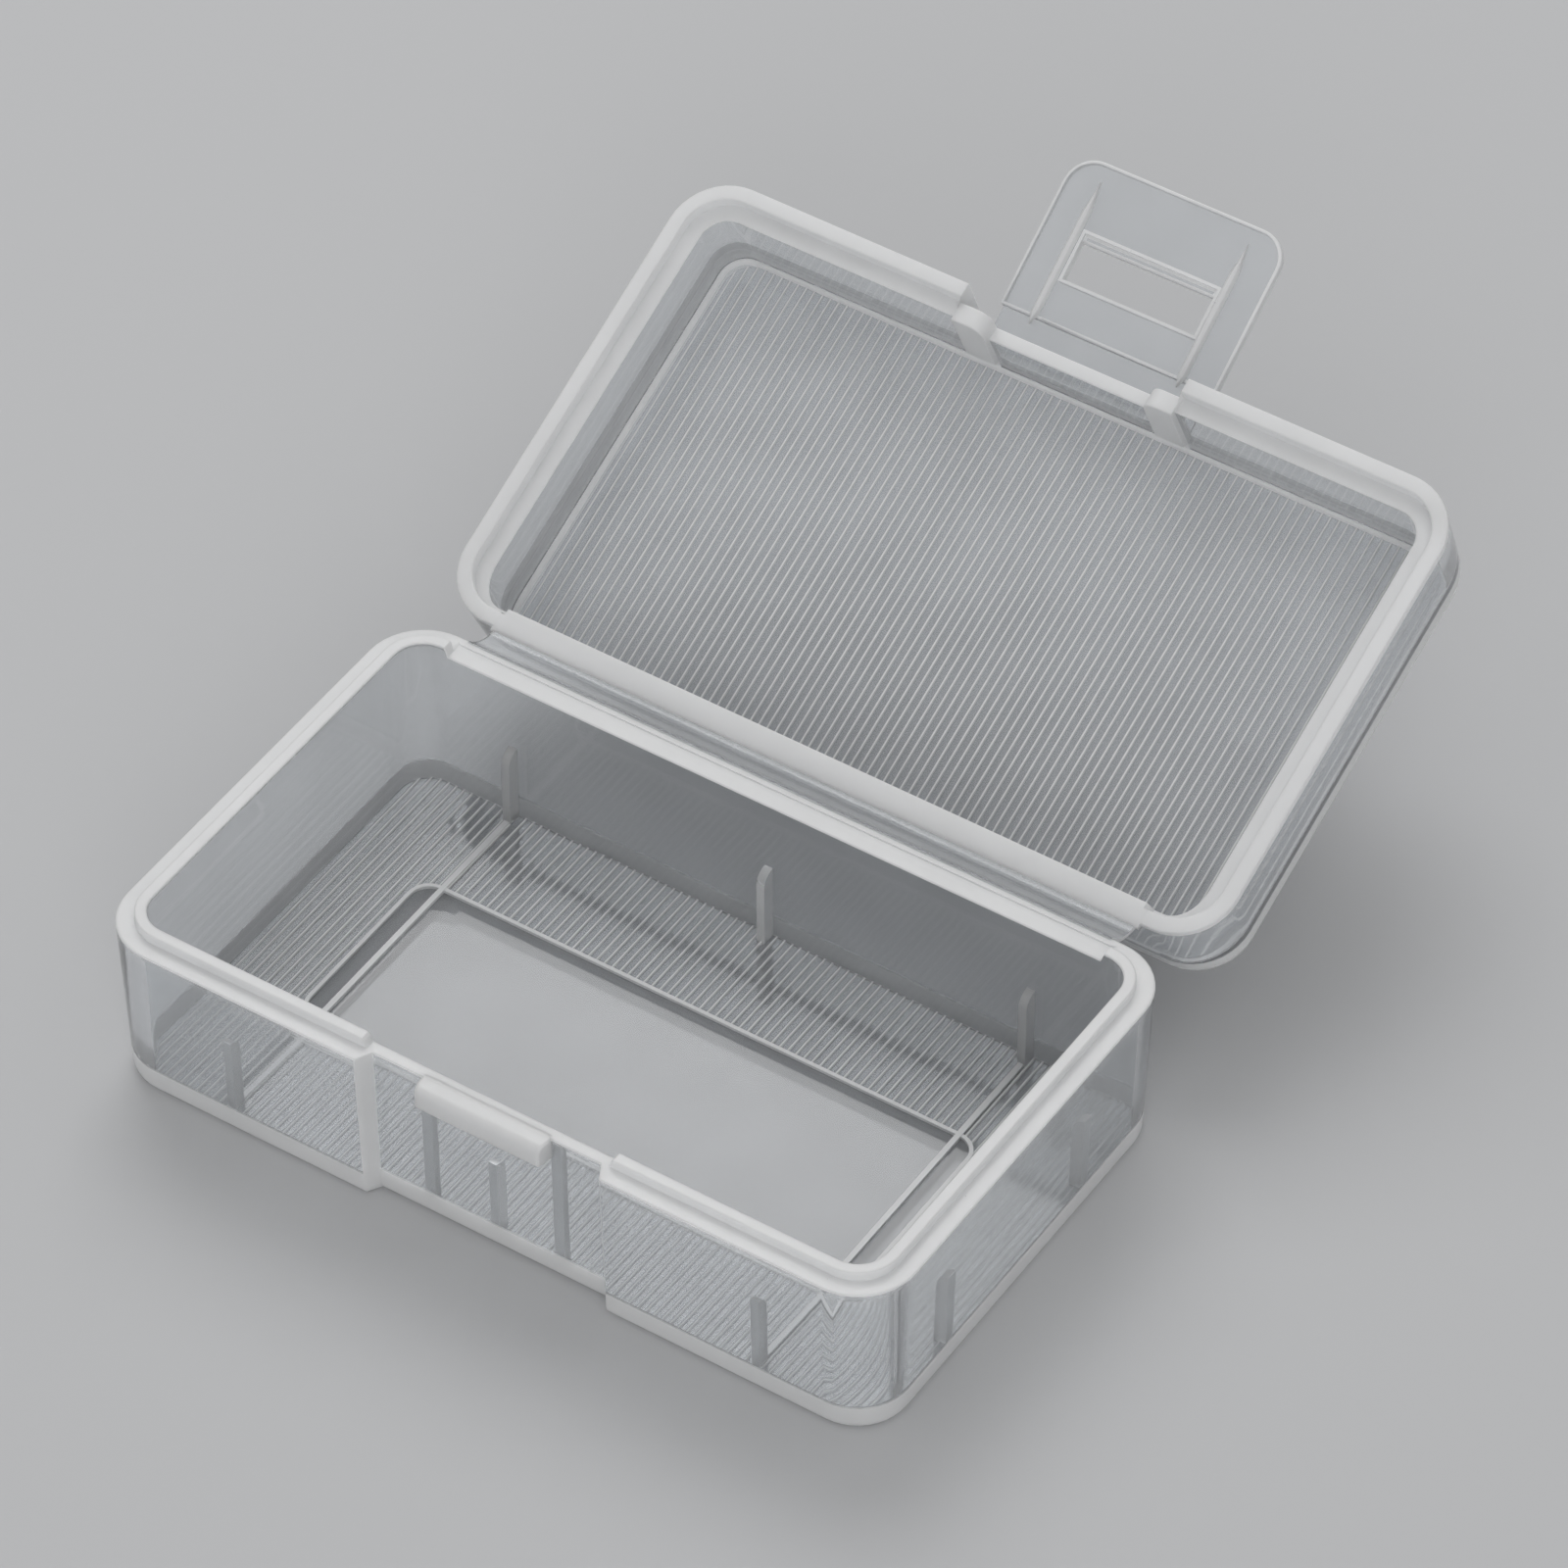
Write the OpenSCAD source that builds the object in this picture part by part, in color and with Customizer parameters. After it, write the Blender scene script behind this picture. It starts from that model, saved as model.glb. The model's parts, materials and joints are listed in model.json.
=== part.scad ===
// Battery storage case: a tray for two cells and a lid on a living hinge, held shut by a
// hinged latch tab whose window snaps over a bar on the tray.
// The case is shown standing open. X runs along the hinge, -Y is the latch side, Z is up,
// and the origin is the centre of the tray's underside.

/* [Case outline] */
// Length of the case, along the hinge
case_l = 77; // [74:0.5:90]
// Width of the case, from the hinge side to the latch side
case_w = 45.2; // [44:0.2:50]
// Outer corner radius, seen from above
corner_r = 5.4; // [5:0.1:6]

/* [Tray] */
// Height of the ledge that the lid stands on
tray_h = 16.6; // [16:0.1:20]
// Thickness of the floor
floor_t = 1.5; // [1.2:0.1:1.8]
// Thickness of the walls at the ledge
wall_t = 2.63; // [2.3:0.01:2.8]
// How far the outer faces draw in towards the underside
tray_draft = 0.65; // [0.3:0.05:0.9]
// Radius of the edge round the underside
foot_r = 0.7; // [0.5:0.1:0.9]
// Width of the ledge outside the locating lip
ledge_w = 1.58; // [1.5:0.01:1.7]
// Height of the locating lip above the ledge
lip_h = 0.9; // [0.6:0.1:1]

/* [Cell ribs] */
// Distance of the outer ribs on the long walls from the end walls
rib_from_end = 9.97; // [9.9:0.01:14]
// Distance of the ribs on the end wall from the middle
end_rib_y = 10.2; // [8:0.1:12]
// How far the ribs stand in from the walls
rib_d = 1.3; // [1:0.1:1.6]
// Thickness of the ribs
rib_t = 0.8; // [0.6:0.1:1.2]
// Height of the ribs' round tops above the underside
rib_top = 9.5; // [8:0.1:12]

/* [Floor window] */
// Distance of the plain pane in the fluted floor from the end walls
pane_from_end = 8.07; // [7:0.01:11]
// Width of the plain pane
pane_w = 18; // [14:0.2:22]
// Corner radius of the pane
pane_r = 1.8; // [1:0.1:3]

/* [Latch recess and bar] */
// Length of the recess in the front wall, at its back
recess_l = 22.2; // [22.2:0.1:24]
// Run of the slanted step at each end of the recess
recess_jog = 0.9; // [0.5:0.1:1.2]
// Thickness of the wall behind the recess
recess_wall_t = 1.13; // [0.9:0.01:1.2]
// Length of the latch bar
bar_l = 12.8; // [12:0.1:12.9]
// Height of the latch bar
bar_h = 2.3; // [2:0.1:2.3]

/* [Lid] */
// Depth of the lid from its rim to its outside face
lid_d = 9.3; // [9:0.1:12]
// How far the lid's outer faces draw in towards the top
lid_draft = 0.3; // [0.1:0.05:0.5]
// Radius of the edge round the lid's outside face
lid_edge_r = 1; // [0.6:0.1:1.2]
// Thickness of the front and end walls
lid_wall_t = 2.9; // [2.8:0.05:3.2]
// Thickness of the wall on the hinge side
lid_back_t = 1.9; // [1.8:0.05:2.2]
// Thickness of the panel
panel_t = 0.9; // [0.8:0.05:1.1]
// Width of the skirt that stands on the tray's ledge
skirt_w = 1.4; // [1.2:0.05:1.45]
// Depth of the skirt below the band inside it
skirt_d = 1.15; // [1:0.05:1.3]

/* [Lid notch] */
// Length of the notch in the lid's front wall
notch_l = 22; // [22:0.1:22.2]
// Depth of the notch, measured from the rim
notch_d = 8.1; // [8:0.05:8.2]
// Length of the opening above the set-back wall
gate_l = 16; // [14:0.2:18]
// Depth of that opening, measured from the rim
gate_d = 3; // [2:0.1:4]

/* [Hinges] */
// Angle of the lid from shut
lid_open = 155.8; // [0:0.1:180]
// Angle of the latch tab from shut
latch_open = 80; // [0:1:170]
// Length of the hinge web
web_l = 64; // [50:0.5:64]
// Thickness of the hinge web
web_t = 0.35; // [0.25:0.05:0.4]

/* [Latch tab] */
// Width of the tab
tab_w = 21.6; // [21:0.1:21.6]
// Length of the tab from its hinge line
tab_l = 17.65; // [17:0.05:18]
// Thickness of the tab
tab_t = 0.9; // [0.8:0.05:0.95]
// Radius of the tab's free corners
tab_r = 2.8; // [2:0.1:3.5]
// Length of the thin film that lets the tab fold
film_l = 2.8; // [2.4:0.1:3]
// Thickness of the film
film_t = 0.3; // [0.2:0.05:0.35]
// Width of the window that snaps over the bar
window_w = 13.3; // [13.3:0.1:13.6]

/* [Fluting] */
// Pitch of the flutes in the tray's floor
floor_pitch = 0.8; // [0.7:0.05:1]
// Pitch of the flutes in the lid's panel
lid_pitch = 0.84; // [0.7:0.02:1]
// Height of a flute's ridge
ridge_h = 0.15; // [0.1:0.01:0.2]
// Width of a flute's ridge
ridge_w = 0.4; // [0.3:0.05:0.5]

/* [Clearances] */
// Gap between the shut lid and the tray's ledge
seat_gap = 0.12; // [0.1:0.01:0.2]
// Gap between the bar and the tab's window, below the bar
hook_gap = 0.22; // [0.15:0.01:0.3]
// Gap between the hinge web and the lid's edge
web_gap = 0.03; // [0.02:0.01:0.05]

/* [Hidden] */
$fn = 48;

eps = 0.01;
far = 2;
flute_back = 0.1;
floor_z = floor_t - flute_back;

inner_l = case_l - 2 * wall_t;
inner_w = case_w - 2 * wall_t;
inner_r = corner_r - wall_t;
recess_y = -inner_w / 2 - recess_wall_t;
recess_draft = 0.4;

rib_x = inner_l / 2 - rib_from_end;
end_rib_d = rib_d + 0.1;
end_rib_t = rib_t + 0.3;
pane_l = inner_l - 2 * pane_from_end;
floor_rib_t = 0.5;
floor_rib_h = 0.35;
border_t = 0.35;
border_h = 0.3;
bar_rib_x = 6.4;
bar_rib_d = 0.8;
bar_rib_t = 1;
bar_rib_drop = 1;
bar_nose_y = -case_w / 2;
bar_nose_r = 0.7;
bar_edge_r = 0.3;
bar_z = tray_h - bar_h;
bar_end_slant = 0.25;
groove_w = 1;
groove_d = 0.12;
groove_y = 20.9;

lid_z = tray_h + seat_gap;
cavity_l = case_l - 2 * lid_wall_t;
cavity_front_y = -case_w / 2 + lid_wall_t;
cavity_back_y = case_w / 2 - lid_back_t;
cavity_r = 2.5;
cavity_d = lid_d - panel_t;
flute_margin = 0.8;
set_back_step = 0.1;
set_back_y = recess_y + set_back_step;
set_back_t = cavity_front_y - set_back_y;
cheek_d = 0.7;
cheek_r = 1.3;
cheek_block_t = 0.5;
cheek_to = cavity_d - 1.4;
band_flange = 0.46;
band_flange_t = 0.6;
band_end = 0.3;
skirt_gap_l = web_l + 2 * band_end;
lip_gap_l = skirt_gap_l + 2 * seat_gap;

hinge_out = 1.75;
hinge_drop = 1;
hinge_y = case_w / 2 + hinge_out;
hinge_z = tray_h - hinge_drop;
web_sag = 0.45;

latch_out = 0.8;
latch_drop = 0.24;
latch_y = recess_y - latch_out;
latch_z = notch_d - latch_drop;
tab_inner = 0.3;
window_from = 6.85;
window_to = lid_z + latch_z - bar_z + hook_gap;
rebate_l = 0.8;
rebate_d = 0.3;
tab_rib_x = 7.4;
tab_rib_w = 0.9;
tab_rib_h = 0.35;
tab_rib_from = 1.95;
tab_rib_to = 16;
tab_rib_tip = 1.2;
tab_rib_tail = 3;
film_inset = 0.4;

// Points along an arc of circle, in the plane of a profile.
function arc(c, r, from, to, steps = 8) =
    [for (i = [0:steps]) let (a = from + (to - from) * i / steps) c + r * [cos(a), sin(a)]];

// Section through a row of flutes: a thin backing with a ridge at every pitch.
function flute_section(length, pitch) =
    let (count = floor((length / 2 - ridge_w) / pitch))
    concat(
        [[-length / 2, 0], [-length / 2, flute_back]],
        [for (i = [-count:count]) each [
            [i * pitch - ridge_w / 2, flute_back],
            [i * pitch, flute_back + ridge_h],
            [i * pitch + ridge_w / 2, flute_back]]],
        [[length / 2, flute_back], [length / 2, 0]]);

// Section of the tray's wall, outwards from the centre of a corner, with the floor's edge.
tray_section = concat(
    [[0, 0]],
    arc([corner_r - tray_draft - foot_r, foot_r], foot_r, -90, 0),
    [[corner_r, tray_h], [corner_r - wall_t, tray_h], [corner_r - wall_t, floor_z],
     [0, floor_z]]);

// Section of the lid's outer form, from the bottom of the skirt's band up to the outside face.
lid_section = concat(
    [[0, skirt_d], [corner_r, skirt_d]],
    arc([corner_r - lid_draft - lid_edge_r, lid_d - lid_edge_r], lid_edge_r, 0, 90),
    [[0, lid_d]]);

module case_color() {
    color([0.86, 0.88, 0.9, 0.6]) children();
}

module rim_color() {
    color([0.9, 0.91, 0.92, 0.85]) children();
}

// A straight run of a section, along X, with the section's outside towards +Y.
module run(section, length) {
    rotate([90, 0, 90])
        linear_extrude(length, center = true)
            polygon(section);
}

// A section carried round a rectangle with round corners.
module ring(section, length, width, r) {
    for (side = [0, 1]) {
        mirror([0, side, 0])
            translate([0, width / 2 - r, 0])
                run(section, length - 2 * r);
        mirror([side, 0, 0])
            translate([length / 2 - r, 0, 0])
                rotate([0, 0, -90])
                    run(section, width - 2 * r);
        for (end = [0, 1])
            mirror([side, 0, 0])
                mirror([0, end, 0])
                    translate([length / 2 - r, width / 2 - r, 0])
                        rotate_extrude(angle = 90)
                            polygon(section);
    }
}

// A plate with round corners, standing on z = 0.
module round_plate(length, width, r, height) {
    translate([-length / 2 + r, -width / 2, 0]) cube([length - 2 * r, width, height]);
    translate([-length / 2, -width / 2 + r, 0]) cube([length, width - 2 * r, height]);
    for (x = [-1, 1], y = [-1, 1])
        translate([x * (length / 2 - r), y * (width / 2 - r), 0])
            cylinder(r = r, h = height);
}

// A block that spans x and z about the middle, from y = from to y = to.
module slab(length, from, to, bottom, top) {
    translate([-length / 2, from, bottom]) cube([length, to - from, top - bottom]);
}

// A rib on a wall whose inner face is at y = 0, standing towards -Y, with a round top.
module wall_rib(depth, thickness, top) {
    translate([-thickness / 2, -depth, floor_z])
        cube([thickness, depth, top - depth - floor_z]);
    intersection() {
        translate([-thickness / 2, 0, top - depth])
            rotate([0, 90, 0])
                cylinder(r = depth, h = thickness);
        slab(thickness, -depth, 0, top - depth, top);
    }
}

// Places what is drawn for the shut lid, with its rim at z = 0, where the open lid is.
module on_lid() {
    translate([0, hinge_y, hinge_z])
        rotate([-lid_open, 0, 0])
            translate([0, -hinge_y, lid_z - hinge_z])
                children();
}

// Places what is drawn for the shut tab, hanging down from its hinge line.
module on_latch() {
    on_lid()
        translate([0, latch_y, latch_z])
            rotate([-latch_open, 0, 0])
                children();
}

module tray_solid() {
    ring(tray_section, case_l, case_w, corner_r);
    slab(case_l - 2 * corner_r, corner_r - case_w / 2, case_w / 2 - corner_r, 0, floor_z);
}

module base_tray() {
    case_color()
        difference() {
            tray_solid();
            slab(recess_l, -case_w, -inner_w / 2, -far, tray_h + far);
            translate([0, 0, -far])
                linear_extrude(tray_h + 2 * far)
                    polygon([
                        [-recess_l / 2, recess_y], [recess_l / 2, recess_y],
                        [recess_l / 2 + recess_jog, -case_w / 2],
                        [recess_l / 2 + recess_jog, -case_w],
                        [-recess_l / 2 - recess_jog, -case_w],
                        [-recess_l / 2 - recess_jog, -case_w / 2]]);
            slab(web_l, groove_y, groove_y + groove_w, tray_h - groove_d, tray_h + far);
        }
}

module latch_recess_wall() {
    case_color()
        rotate([90, 0, 90])
            linear_extrude(recess_l, center = true)
                polygon(concat(
                    [[-inner_w / 2, 0]],
                    arc([recess_y + recess_draft + foot_r, foot_r], foot_r, -90, -180),
                    [[recess_y, tray_h], [-inner_w / 2, tray_h]]));
}

module pane_cut(grow) {
    translate([0, 0, -far])
        round_plate(pane_l + 2 * grow, pane_w + 2 * grow, pane_r + grow, far + floor_t + far);
}

module floor_flutes() {
    case_color()
        difference() {
            intersection() {
                translate([0, 0, floor_z])
                    rotate([90, 0, 0])
                        linear_extrude(inner_w, center = true)
                            polygon(flute_section(inner_l, floor_pitch));
                round_plate(inner_l, inner_w, inner_r, tray_h);
            }
            pane_cut(border_t);
            floor_rib_solid(1);
            floor_rib_solid(-1);
            rear_rib_solids();
            front_rib_solids();
            end_rib_solids();
            bar_rib_solids();
        }
}

module floor_pane_border() {
    rim_color()
        difference() {
            translate([0, 0, floor_z])
                round_plate(pane_l + 2 * border_t, pane_w + 2 * border_t, pane_r + border_t,
                            border_h);
            pane_cut(0);
            floor_rib_solid(1);
            floor_rib_solid(-1);
        }
}

// The locating lip on one side: it is left out along the hinge web and the latch recess.
module lip(side) {
    section = [
        [corner_r - wall_t, tray_h], [corner_r - ledge_w, tray_h],
        [corner_r - ledge_w, tray_h + lip_h], [corner_r - wall_t, tray_h + lip_h]];
    rim_color()
        intersection() {
            difference() {
                ring(section, case_l, case_w, corner_r);
                slab(lip_gap_l, 0, case_w, 0, 2 * tray_h);
                slab(recess_l + 2 * recess_jog, -case_w, 0, 0, 2 * tray_h);
            }
            translate([side > 0 ? 0 : -case_l, -case_w, 0])
                cube([case_l, 2 * case_w, 2 * tray_h]);
        }
}

module left_locating_lip() {
    lip(-1);
}

module right_locating_lip() {
    lip(1);
}

// The latch bar: flat on top, with a round nose level with the front of the case.
module latch_bar() {
    rim_color()
        intersection() {
            rotate([90, 0, 90])
                linear_extrude(bar_l, center = true)
                    polygon(concat(
                        [[recess_y, bar_z]],
                        arc([bar_nose_y + bar_edge_r, bar_z + bar_edge_r], bar_edge_r, -90, -180, 4),
                        arc([bar_nose_y + bar_nose_r, tray_h - bar_nose_r], bar_nose_r, 180, 90),
                        [[recess_y, tray_h]]));
            translate([0, 0, bar_z - eps])
                linear_extrude(bar_h + 2 * eps)
                    polygon([
                        [-bar_l / 2, recess_y + eps], [bar_l / 2, recess_y + eps],
                        [bar_l / 2 - bar_end_slant, bar_nose_y],
                        [-bar_l / 2 + bar_end_slant, bar_nose_y]]);
        }
}

module bar_rib_solids() {
    for (x = [-1, 1])
        translate([x * bar_rib_x, -inner_w / 2, 0])
            rotate([0, 0, 180])
                wall_rib(bar_rib_d, bar_rib_t, tray_h - bar_rib_drop);
}

module bar_support_ribs() {
    rim_color() bar_rib_solids();
}

module rear_rib_solids() {
    for (x = [-1, 0, 1])
        translate([x * rib_x, inner_w / 2, 0])
            wall_rib(rib_d, rib_t, rib_top);
}

module rear_wall_ribs() {
    rim_color() rear_rib_solids();
}

module front_rib_solids() {
    for (x = [-1, 0, 1])
        translate([x * rib_x, -inner_w / 2, 0])
            rotate([0, 0, 180])
                wall_rib(rib_d, rib_t, rib_top);
}

module front_wall_ribs() {
    rim_color() front_rib_solids();
}

module end_rib_solids() {
    for (y = [-1, 1])
        translate([inner_l / 2, y * end_rib_y, 0])
            rotate([0, 0, -90])
                wall_rib(end_rib_d, end_rib_t, rib_top);
}

module end_wall_ribs() {
    rim_color() end_rib_solids();
}

// A low rib across the floor, between the feet of the ribs on the long walls.
module floor_rib_solid(side) {
    translate([side * rib_x, 0, 0])
        slab(floor_rib_t, -inner_w / 2 + rib_d, inner_w / 2 - rib_d, floor_z,
             floor_z + floor_rib_h);
}

module left_floor_rib() {
    rim_color() floor_rib_solid(-1);
}

module right_floor_rib() {
    rim_color() floor_rib_solid(1);
}

// The web between tray and lid: a thin film that sags from the tray's rear wall to just short
// of the lid's flange.
module hinge_web() {
    from = [case_w / 2, tray_h - web_t / 2];
    lid_edge = [case_w / 2 + band_flange + web_gap - hinge_y, lid_z - hinge_z + web_t / 2];
    to = [
        hinge_y + lid_edge[0] * cos(lid_open) + lid_edge[1] * sin(lid_open),
        hinge_z - lid_edge[0] * sin(lid_open) + lid_edge[1] * cos(lid_open)];
    span = norm(to - from);
    bend_r = (span * span / 4 + web_sag * web_sag) / (2 * web_sag);
    half = asin((span / 2 + web_t) / bend_r);
    tilt = atan2(to[1] - from[1], to[0] - from[0]);
    centre = (from + to) / 2 + (bend_r - web_sag) * [-sin(tilt), cos(tilt)];
    case_color()
        difference() {
            rotate([90, 0, 90])
                linear_extrude(web_l, center = true)
                    polygon(concat(
                        arc(centre, bend_r + web_t / 2, tilt - 90 - half, tilt - 90 + half, 12),
                        arc(centre, bend_r - web_t / 2, tilt - 90 + half, tilt - 90 - half, 12)));
            translate([0, case_w / 2 - corner_r, 0]) run(tray_section, case_l);
            on_lid()
                slab(case_l, 0, case_w / 2 + band_flange + web_gap, -lid_d, lid_d);
        }
}

module lid_shell() {
    cavity_w = cavity_back_y - cavity_front_y;
    case_color()
        on_lid()
            difference() {
                union() {
                    ring(lid_section, case_l, case_w, corner_r);
                    slab(case_l - 2 * corner_r, corner_r - case_w / 2, case_w / 2 - corner_r,
                         skirt_d, lid_d);
                }
                translate([0, (cavity_back_y + cavity_front_y) / 2, -far])
                    round_plate(cavity_l, cavity_w, cavity_r, cavity_d + far);
                slab(notch_l, -case_w, cavity_front_y + eps, -far, notch_d);
            }
}

module lid_flutes() {
    length = cavity_l - 2 * flute_margin;
    width = cavity_back_y - cavity_front_y - 2 * cheek_block_t;
    case_color()
        on_lid()
            translate([0, (cavity_back_y + cavity_front_y) / 2, cavity_d])
                intersection() {
                    rotate([-90, 0, 0])
                        linear_extrude(width, center = true)
                            polygon(flute_section(length, lid_pitch));
                    translate([0, 0, -far])
                        round_plate(length, width, cavity_r, far);
                }
}

// The skirt on one side: it is left out along the hinge band and the notch.
module skirt(side) {
    section = [
        [corner_r - skirt_w, 0], [corner_r, 0], [corner_r, skirt_d],
        [corner_r - skirt_w, skirt_d]];
    rim_color()
        on_lid()
            intersection() {
                difference() {
                    ring(section, case_l, case_w, corner_r);
                    slab(skirt_gap_l, 0, case_w, -far, lid_d);
                    slab(notch_l, -case_w, 0, -far, lid_d);
                }
                translate([side > 0 ? 0 : -case_l, -case_w, -far])
                    cube([case_l, 2 * case_w, lid_d]);
            }
}

module left_lid_skirt() {
    skirt(-1);
}

module right_lid_skirt() {
    skirt(1);
}

module lid_hinge_band() {
    rim_color()
        on_lid()
            rotate([90, 0, 90])
                linear_extrude(skirt_gap_l, center = true)
                    polygon([
                        [cavity_back_y, 0], [case_w / 2 + band_flange, 0],
                        [case_w / 2 + band_flange, band_flange_t / 2],
                        [case_w / 2, band_flange_t], [case_w / 2, skirt_d],
                        [cavity_back_y, skirt_d]]);
}

// The wall across the notch, set back so that the shut latch tab lies level with the case.
module lid_set_back_wall() {
    case_color()
        on_lid()
            slab(gate_l, set_back_y, cavity_front_y, gate_d, notch_d);
}

// The end of the set-back wall: a block that rises almost to the rim with a round corner, and
// stands a little into the lid.
module cheek(side) {
    rim_color()
        on_lid()
            mirror([side > 0 ? 0 : 1, 0, 0])
                difference() {
                    translate([0, cavity_front_y + cheek_block_t, 0])
                        rotate([90, 0, 0])
                            linear_extrude(set_back_t + cheek_block_t)
                                polygon(concat(
                                    [[notch_l / 2, notch_d], [notch_l / 2, cheek_d]],
                                    arc([gate_l / 2 + cheek_r, cheek_d + cheek_r], cheek_r,
                                        -90, -180),
                                    [[gate_l / 2, notch_d]]));
                    slab(case_l, cavity_front_y, case_w, cheek_to, lid_d);
                }
}

module left_notch_cheek() {
    cheek(-1);
}

module right_notch_cheek() {
    cheek(1);
}

module latch_film() {
    case_color()
        on_latch()
            slab(tab_w - 2 * film_inset, -film_t / 2, film_t / 2, -film_l, 0);
}

module latch_tab() {
    case_color()
        on_latch()
            difference() {
                union() {
                    slab(tab_w, tab_inner - tab_t, tab_inner, -tab_l + tab_r, -film_l);
                    slab(tab_w - 2 * tab_r, tab_inner - tab_t, tab_inner, -tab_l, -film_l);
                    for (x = [-1, 1])
                        translate([x * (tab_w / 2 - tab_r), tab_inner, -tab_l + tab_r])
                            rotate([90, 0, 0])
                                cylinder(r = tab_r, h = tab_t);
                }
                slab(window_w, -far, far, -window_to, -window_from);
                slab(window_w, tab_inner - rebate_d, far, -window_to - rebate_l, -window_from);
            }
}

// The two stand-off ribs on the tab's inner face, pointed at both ends.
module latch_tab_ribs() {
    rim_color()
        on_latch()
            for (x = [-1, 1])
                translate([x * tab_rib_x, tab_inner + tab_rib_h, 0])
                    rotate([90, 0, 0])
                        linear_extrude(tab_rib_h)
                            polygon([
                                [0, -tab_rib_from],
                                [tab_rib_w / 2, -tab_rib_from - tab_rib_tip],
                                [tab_rib_w / 2, -tab_rib_to + tab_rib_tail],
                                [0, -tab_rib_to],
                                [-tab_rib_w / 2, -tab_rib_to + tab_rib_tail],
                                [-tab_rib_w / 2, -tab_rib_from - tab_rib_tip]]);
}

base_tray();
floor_flutes();
floor_pane_border();
left_locating_lip();
right_locating_lip();
latch_recess_wall();
latch_bar();
bar_support_ribs();
rear_wall_ribs();
front_wall_ribs();
end_wall_ribs();
left_floor_rib();
right_floor_rib();
hinge_web();
lid_shell();
lid_flutes();
left_lid_skirt();
right_lid_skirt();
lid_hinge_band();
lid_set_back_wall();
left_notch_cheek();
right_notch_cheek();
latch_film();
latch_tab();
latch_tab_ribs();
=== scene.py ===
"""The looks of a small translucent battery case: a tray and a lid on a living hinge, with a
windowed latch tab. Each operator shapes and finishes one group of its pieces."""

import json
import math

import bmesh
import bpy
from bmesh.types import BMEdge, BMFace, BMVert
from mathutils import Matrix, Vector


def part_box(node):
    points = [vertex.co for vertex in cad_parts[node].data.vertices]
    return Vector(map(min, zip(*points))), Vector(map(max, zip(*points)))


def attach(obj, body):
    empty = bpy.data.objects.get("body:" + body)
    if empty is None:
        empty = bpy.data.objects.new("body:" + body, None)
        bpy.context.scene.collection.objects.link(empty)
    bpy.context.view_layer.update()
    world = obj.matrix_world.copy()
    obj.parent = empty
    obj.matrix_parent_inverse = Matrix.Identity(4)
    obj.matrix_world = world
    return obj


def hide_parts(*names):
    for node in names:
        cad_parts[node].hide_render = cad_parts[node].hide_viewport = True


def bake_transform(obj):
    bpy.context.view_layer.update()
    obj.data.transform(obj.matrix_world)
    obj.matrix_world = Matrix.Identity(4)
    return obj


bl_info = {
    "name": "Battery storage case",
    "version": (1, 0, 0),
    "blender": (4, 5, 0),
    "location": "3D View > Sidebar > Storage case",
    "description": "Shapes and finishes a translucent storage case round its packed model",
    "category": "Object",
}

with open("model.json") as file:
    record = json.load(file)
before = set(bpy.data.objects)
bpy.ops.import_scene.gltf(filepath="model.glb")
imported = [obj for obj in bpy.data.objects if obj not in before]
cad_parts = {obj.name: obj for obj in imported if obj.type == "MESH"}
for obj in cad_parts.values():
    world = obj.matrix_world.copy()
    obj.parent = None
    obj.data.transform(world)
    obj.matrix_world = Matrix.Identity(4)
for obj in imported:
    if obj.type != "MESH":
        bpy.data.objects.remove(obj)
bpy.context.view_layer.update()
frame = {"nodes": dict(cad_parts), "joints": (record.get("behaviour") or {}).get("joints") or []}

MM = 0.001
# The gap between a modelled face and the CAD's face beside it.
AIR = 0.02 * MM
# Points closer than this are one point.
MERGE = 0.002 * MM
# Edges that turn by more than this are shaded as sharp.
SHARP_ANGLE = math.radians(34)
# Edges that turn by more than this are corners, which get rounded.
CORNER_ANGLE = math.radians(50)
# A face is level when its normal's height is more than this.
LEVEL = 0.999


# Where the pieces stand -----------------------------------

JOINTS = {joint["name"]: joint for joint in frame["joints"]}


def turn_about(point, degrees):
    """The turn about a line along X through a point."""
    turn = Matrix.Rotation(math.radians(degrees), 4, "X")
    return Matrix.Translation(point) @ turn @ Matrix.Translation(-point)


LID_HINGE = Vector(JOINTS["lid_hinge"]["pos_m"])
LATCH_HINGE = Vector(JOINTS["latch_hinge"]["pos_m"])
LID_OPEN = -JOINTS["lid_hinge"]["range_deg"][0]
LATCH_OPEN = -JOINTS["latch_hinge"]["range_deg"][0]

# From the shut case to the open one, for the lid and for the latch tab.
LID_OUT = turn_about(LID_HINGE, -LID_OPEN)
LATCH_HINGE_SHUT = LID_OUT.inverted() @ LATCH_HINGE
LATCH_OUT = LID_OUT @ turn_about(LATCH_HINGE_SHUT, -LATCH_OPEN)


def shut_box(node, out):
    """The lowest and highest corners of a node when the case is shut."""
    back = out.inverted()
    corners = [back @ v.co for v in frame["nodes"][node].data.vertices]
    low = Vector([min(c[axis] for c in corners) for axis in range(3)])
    high = Vector([max(c[axis] for c in corners) for axis in range(3)])
    return low, high


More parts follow.
